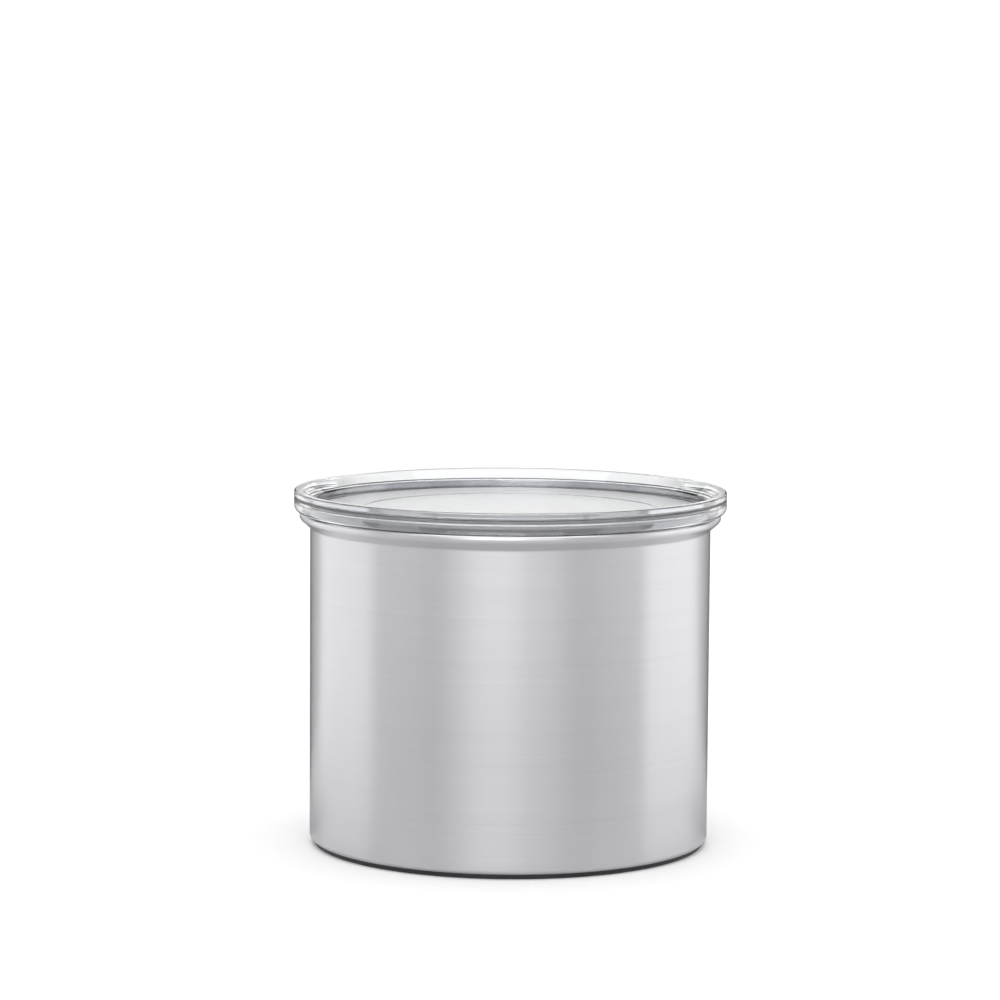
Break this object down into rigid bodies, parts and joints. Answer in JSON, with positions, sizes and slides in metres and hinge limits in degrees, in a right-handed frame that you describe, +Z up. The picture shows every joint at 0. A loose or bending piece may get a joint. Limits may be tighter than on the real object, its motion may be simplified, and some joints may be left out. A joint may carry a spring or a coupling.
{
  "type": "coffee canister with valve",
  "caption": "Round brushed steel coffee canister with a clear slip-on lid and, inside, a press-down inner lid whose folding handle opens an air valve.",
  "frame": {"origin": "centre of the base, on the surface that the canister stands on", "axes": "+Z up along the canister's axis, -Y towards the front that the picture shows, +X to the right"},
  "size_m": [0.127, 0.127, 0.1046],
  "materials": {
    "brushed_steel": "brushed round the girth, satin",
    "black_silicone": "matt moulded silicone",
    "clear_plastic": "clear moulded plastic, glossy",
    "grey_plastic": "fine moulded grain",
    "handle_plastic": "satin, finer grain than the plates",
    "grey_silicone": "matt moulded silicone",
    "white_plastic": "smooth moulded",
    "bright_steel": "bright drawn steel"
  },
  "bodies": {
    "canister": {"steel_body": "brushed_steel", "base_ring": "black_silicone"},
    "lid": {"clear_lid": "clear_plastic"},
    "plunger": {"plunger_plate": "grey_plastic", "lower_plate": "grey_plastic", "wiper_seal": "grey_silicone", "plate_screws": "bright_steel", "valve_body": "grey_plastic", "valve_gasket": "grey_silicone", "valve_screws": "bright_steel", "valve_spring": "bright_steel", "hinge_pin": "bright_steel", "pin_clips": "bright_steel"},
    "handle": {"handle": "handle_plastic"},
    "valve": {"valve_stem": "white_plastic", "valve_disc": "grey_silicone", "valve_button": "white_plastic"}
  },
  "joints": [
    {"name": "lid_lift", "type": "slide", "parent": "canister", "child": "lid", "axis": [0, 0, 1], "range_m": [0, 0.12]},
    {"name": "plunger_press", "type": "slide", "parent": "canister", "child": "plunger", "axis": [0, 0, 1], "range_m": [-0.035, 0]},
    {"name": "handle_fold", "type": "hinge", "parent": "plunger", "child": "handle", "pos_m": [0, 0, 0.06095], "axis": [-1, 0, 0], "range_deg": [0, 90]},
    {"name": "valve_open", "type": "slide", "parent": "plunger", "child": "valve", "axis": [0, 0, -1], "range_m": [0, 0.002], "deforming": ["valve_spring"]}
  ],
  "couplings": [
    {"joint": "valve_open", "follows": "handle_fold", "m_per_rad": 0.0012732}
  ]
}
